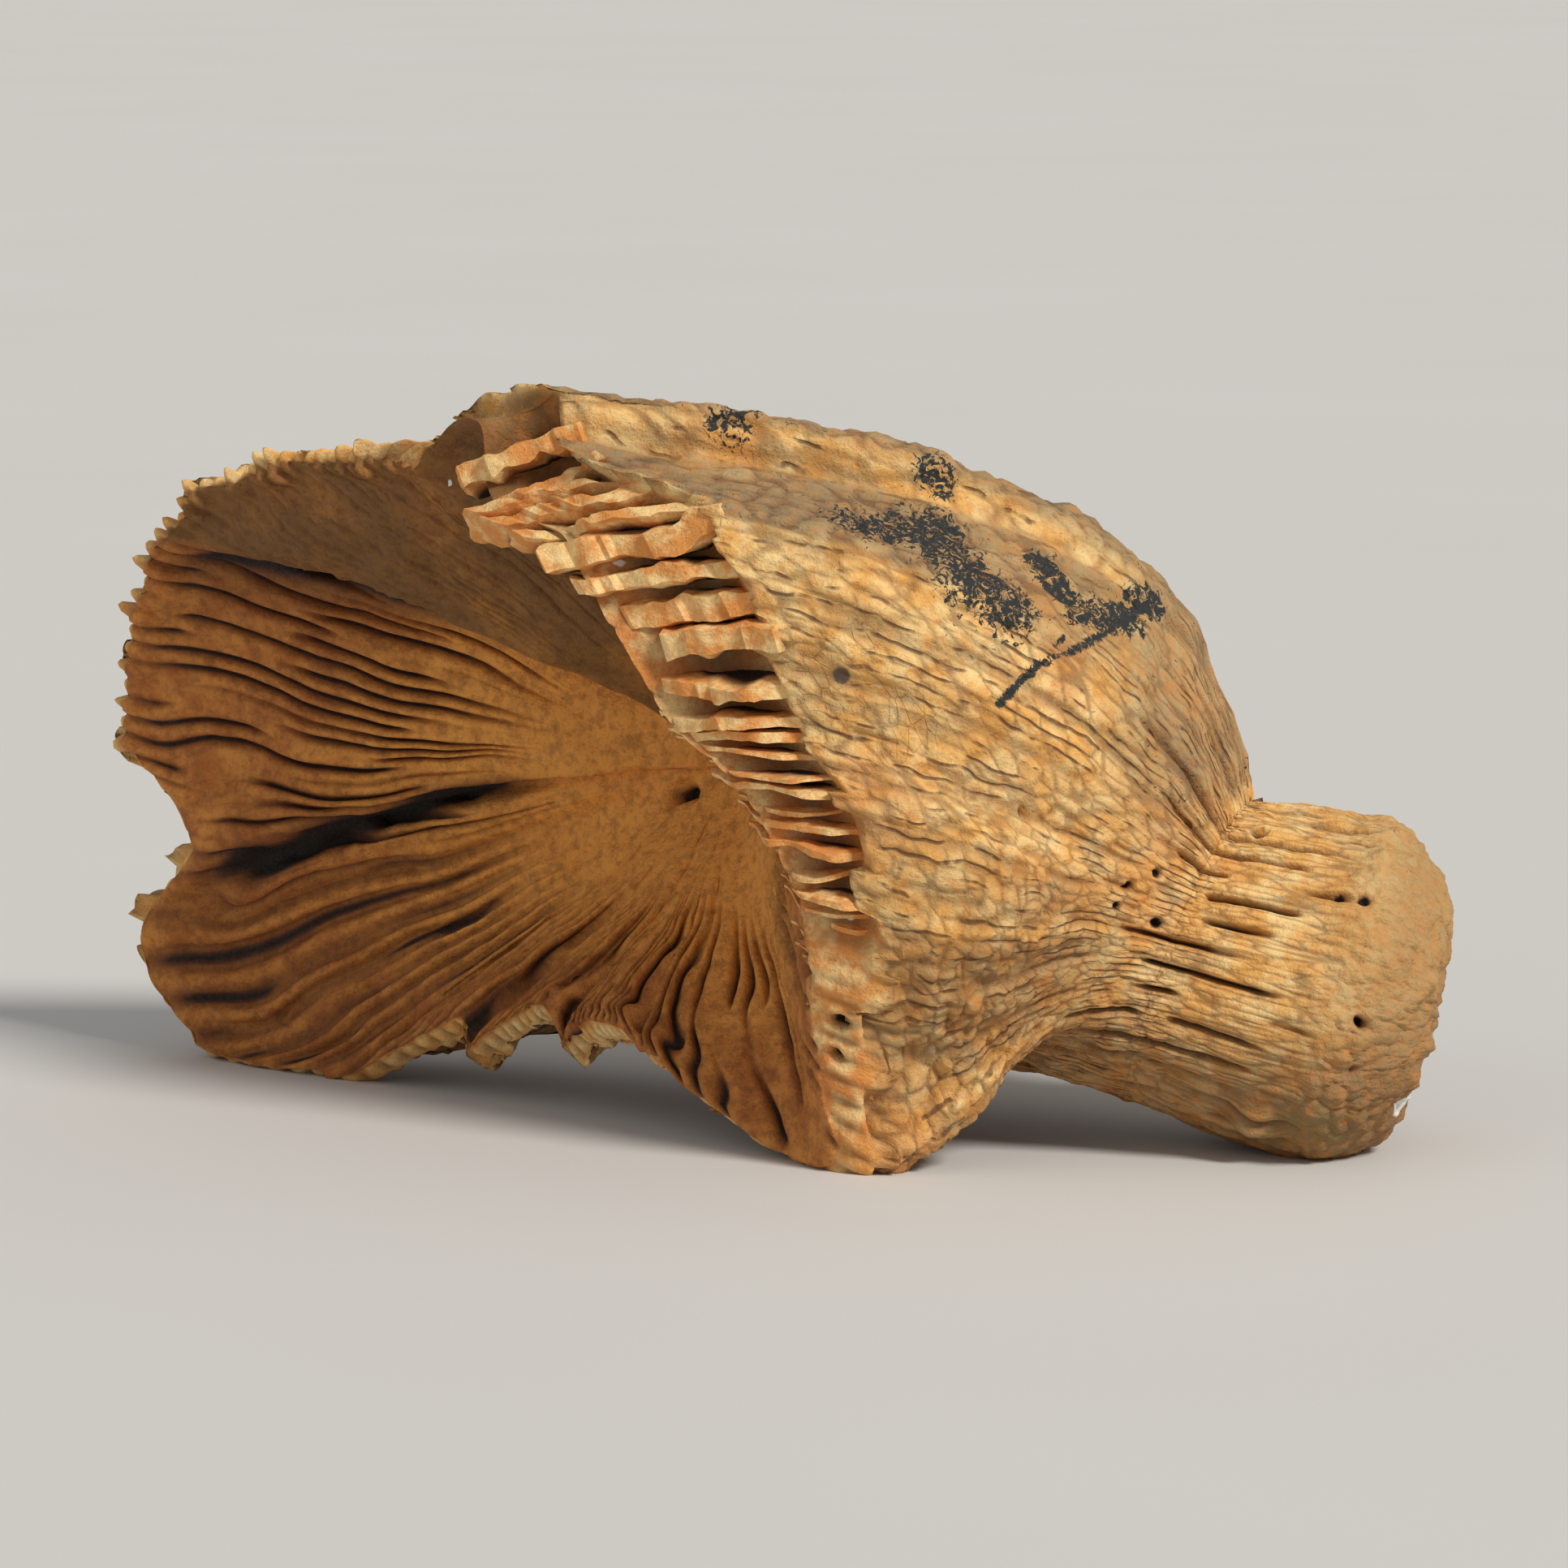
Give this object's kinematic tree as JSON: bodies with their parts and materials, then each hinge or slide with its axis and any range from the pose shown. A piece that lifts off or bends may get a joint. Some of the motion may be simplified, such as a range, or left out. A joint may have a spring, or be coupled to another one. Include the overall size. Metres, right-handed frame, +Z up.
{
  "type": "fossil horn coral",
  "caption": "Fossil solitary horn coral lying on its side: blunt foot, short ribbed stalk, and a flared cup lined with thin radial plates.",
  "frame": {"origin": "bottom centre of the specimen's box, on the surface that it lies on", "axes": "+X towards the foot, +Y to the back, +Z up"},
  "size_m": [0.0558, 0.0344, 0.0319],
  "materials": {
    "fossil_stone": "dull worn calcite, ochre"
  },
  "bodies": {
    "root": {"horn_coral": "fossil_stone"}
  },
  "joints": []
}
